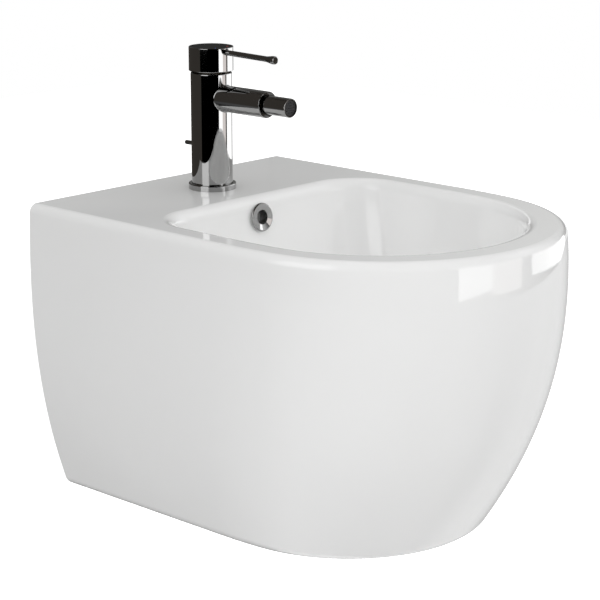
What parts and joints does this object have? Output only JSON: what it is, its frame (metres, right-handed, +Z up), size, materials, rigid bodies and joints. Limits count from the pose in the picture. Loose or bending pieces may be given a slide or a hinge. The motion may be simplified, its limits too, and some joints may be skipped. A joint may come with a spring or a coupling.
{
  "type": "bidet",
  "caption": "Wall-hung D-shaped ceramic bidet with a chrome one-hole lever mixer, swivel nozzle, overflow and pop-up waste.",
  "frame": {"origin": "midway between the two wall bolt holes, on the wall plane", "axes": "+Z up, +Y into the wall, the front looks along -Y, x = 0 is the plane of symmetry"},
  "size_m": [0.37, 0.4866, 0.4544],
  "materials": {
    "ceramic": "gloss",
    "chrome": "polished",
    "brass": "satin",
    "spindle_brass": "satin",
    "steel": "satin",
    "rubber": "matte",
    "alumina": "satin",
    "dark_plastic": "matte",
    "red_mark": "gloss",
    "blue_mark": "gloss"
  },
  "bodies": {
    "basin": {"ceramic_rim": "ceramic", "ceramic_skirt": "ceramic", "ceramic_bowl": "ceramic", "overflow_ring": "chrome", "base_ring": "chrome", "mixer_body": "chrome", "spout_ring": "chrome", "waste_flange": "chrome", "pivot_nut": "chrome", "cartridge_nut": "brass", "waste_nut": "brass", "waste_tee": "brass", "tail_pipe": "brass", "stud_nut": "brass", "mounting_stud": "steel", "clamp_plate": "steel", "base_gasket": "rubber", "cartridge_seal": "rubber", "rubber_washer": "rubber", "flange_gasket": "rubber", "boss_gasket": "rubber", "fixed_disc": "alumina", "cartridge_housing": "dark_plastic", "pivot_seat": "dark_plastic"},
    "temperature_carrier": {"spindle_carrier": "dark_plastic", "pivot_pin": "steel"},
    "handle": {"spindle": "spindle_brass", "handle_cap": "chrome", "lever": "chrome", "hot_mark": "red_mark", "cold_mark": "blue_mark"},
    "control_disc": {"moving_disc": "alumina"},
    "nozzle_swivel": {"ball_seat": "dark_plastic"},
    "nozzle": {"nozzle_ball": "brass", "nozzle_sleeve": "chrome", "nozzle_seal": "rubber", "aerator_insert": "dark_plastic"},
    "lift_linkage": {"lift_pin": "chrome", "lift_rod": "steel", "lift_fork": "steel", "fork_screw": "steel"},
    "pivot_arm": {"pivot_rod": "steel", "cross_pin": "steel"},
    "waste_plug": {"plug_head": "chrome", "plug_seal": "rubber", "plug_stem": "brass"}
  },
  "joints": [
    {"name": "handle_turn", "type": "hinge", "parent": "basin", "child": "temperature_carrier", "pos_m": [0, -0.075, 0.199], "axis": [0, 0, 1], "range_deg": [-50, 50]},
    {"name": "handle_lift", "type": "hinge", "parent": "temperature_carrier", "child": "handle", "pos_m": [0, -0.075, 0.199], "axis": [-1, 0, 0], "range_deg": [0, 22]},
    {"name": "disc_slide", "type": "slide", "parent": "temperature_carrier", "child": "control_disc", "axis": [0, -1, 0], "range_m": [0, 0.00224]},
    {"name": "nozzle_swing", "type": "hinge", "parent": "basin", "child": "nozzle_swivel", "pos_m": [0, -0.1465, 0.1805], "axis": [0, 0, 1], "range_deg": [-9, 9]},
    {"name": "nozzle_tilt", "type": "hinge", "parent": "nozzle_swivel", "child": "nozzle", "pos_m": [0, -0.1465, 0.1805], "axis": [1, 0, 0], "range_deg": [-9, 9]},
    {"name": "lift", "type": "slide", "parent": "basin", "child": "lift_linkage", "axis": [0, 0, 1], "range_m": [0, 0.036]},
    {"name": "pivot", "type": "hinge", "parent": "basin", "child": "pivot_arm", "pos_m": [0, -0.213, -0.137], "axis": [1, 0, 0], "range_deg": [0, 14.62]},
    {"name": "plug_slide", "type": "slide", "parent": "basin", "child": "waste_plug", "axis": [0, 0, 1], "range_m": [-0.0069, 0]}
  ],
  "couplings": [
    {"joint": "disc_slide", "follows": "handle_lift", "m_per_rad": 0.0058},
    {"joint": "pivot", "follows": "lift", "rad_per_m": 7.0822},
    {"joint": "plug_slide", "follows": "lift", "ratio": -0.19122}
  ]
}
